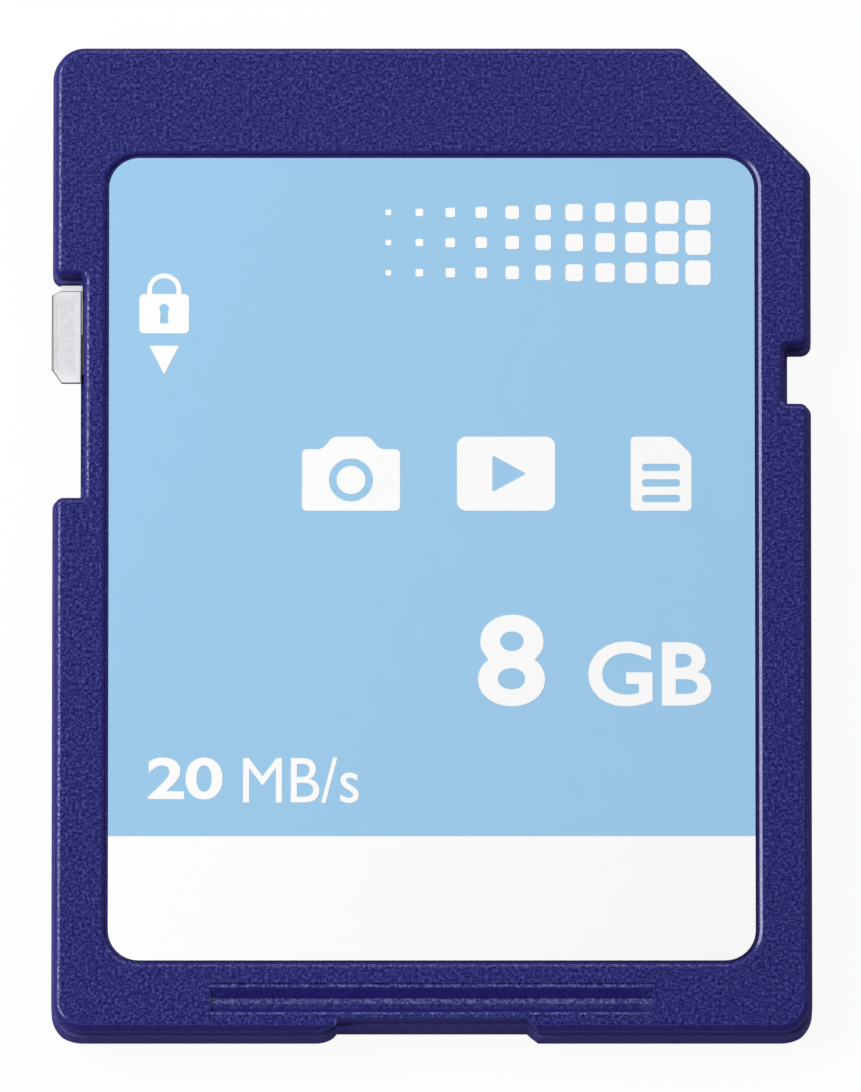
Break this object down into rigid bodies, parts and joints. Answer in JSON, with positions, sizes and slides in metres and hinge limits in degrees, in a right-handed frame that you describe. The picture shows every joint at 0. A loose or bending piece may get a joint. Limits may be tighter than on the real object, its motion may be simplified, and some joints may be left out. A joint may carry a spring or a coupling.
{
  "type": "memory card",
  "caption": "Flat plastic memory card with a cut corner, recessed label, edge contacts on the back and a sliding write-protect tab in the left edge.",
  "frame": {"origin": "middle of the 24 by 32 mm footprint, on the back face", "axes": "+X to the right seen from the label, +Y to the contact end, +Z out of the label face"},
  "size_m": [0.024, 0.032, 0.0021],
  "materials": {
    "case_plastic": "fine spark-eroded texture, dark violet blue",
    "label_film": "satin printed film, pale blue over a white band",
    "slider_plastic": "smooth pale grey moulding",
    "board_laminate": "green solder mask on glass laminate",
    "contact_gold": "hard gold plate",
    "chip_mould": "black moulding compound",
    "tinned_metal": "matt tin plate",
    "capacitor_ceramic": "tan ceramic with tinned ends",
    "resistor_ceramic": "black glazed film with tinned ends"
  },
  "bodies": {
    "card": {"front_shell": "case_plastic", "back_shell": "case_plastic", "label": "label_film", "circuit_board": "board_laminate", "flash_chip": "chip_mould", "flash_leads": "tinned_metal", "controller_chip": "chip_mould", "controller_pads": "tinned_metal", "contact_1": "contact_gold", "contact_2": "contact_gold", "contact_3": "contact_gold", "contact_4": "contact_gold", "contact_5": "contact_gold", "contact_6": "contact_gold", "contact_7": "contact_gold", "contact_8": "contact_gold", "contact_9": "contact_gold", "capacitor_1": "capacitor_ceramic", "capacitor_2": "capacitor_ceramic", "capacitor_3": "capacitor_ceramic", "capacitor_4": "capacitor_ceramic", "capacitor_5": "capacitor_ceramic", "capacitor_6": "capacitor_ceramic", "resistor_1": "resistor_ceramic", "resistor_2": "resistor_ceramic", "resistor_3": "resistor_ceramic", "resistor_4": "resistor_ceramic"},
    "slider": {"lock_slider": "slider_plastic"}
  },
  "joints": [
    {"name": "lock_slide", "type": "slide", "parent": "card", "child": "slider", "axis": [0, -1, 0], "range_m": [0, 0.0035]}
  ]
}
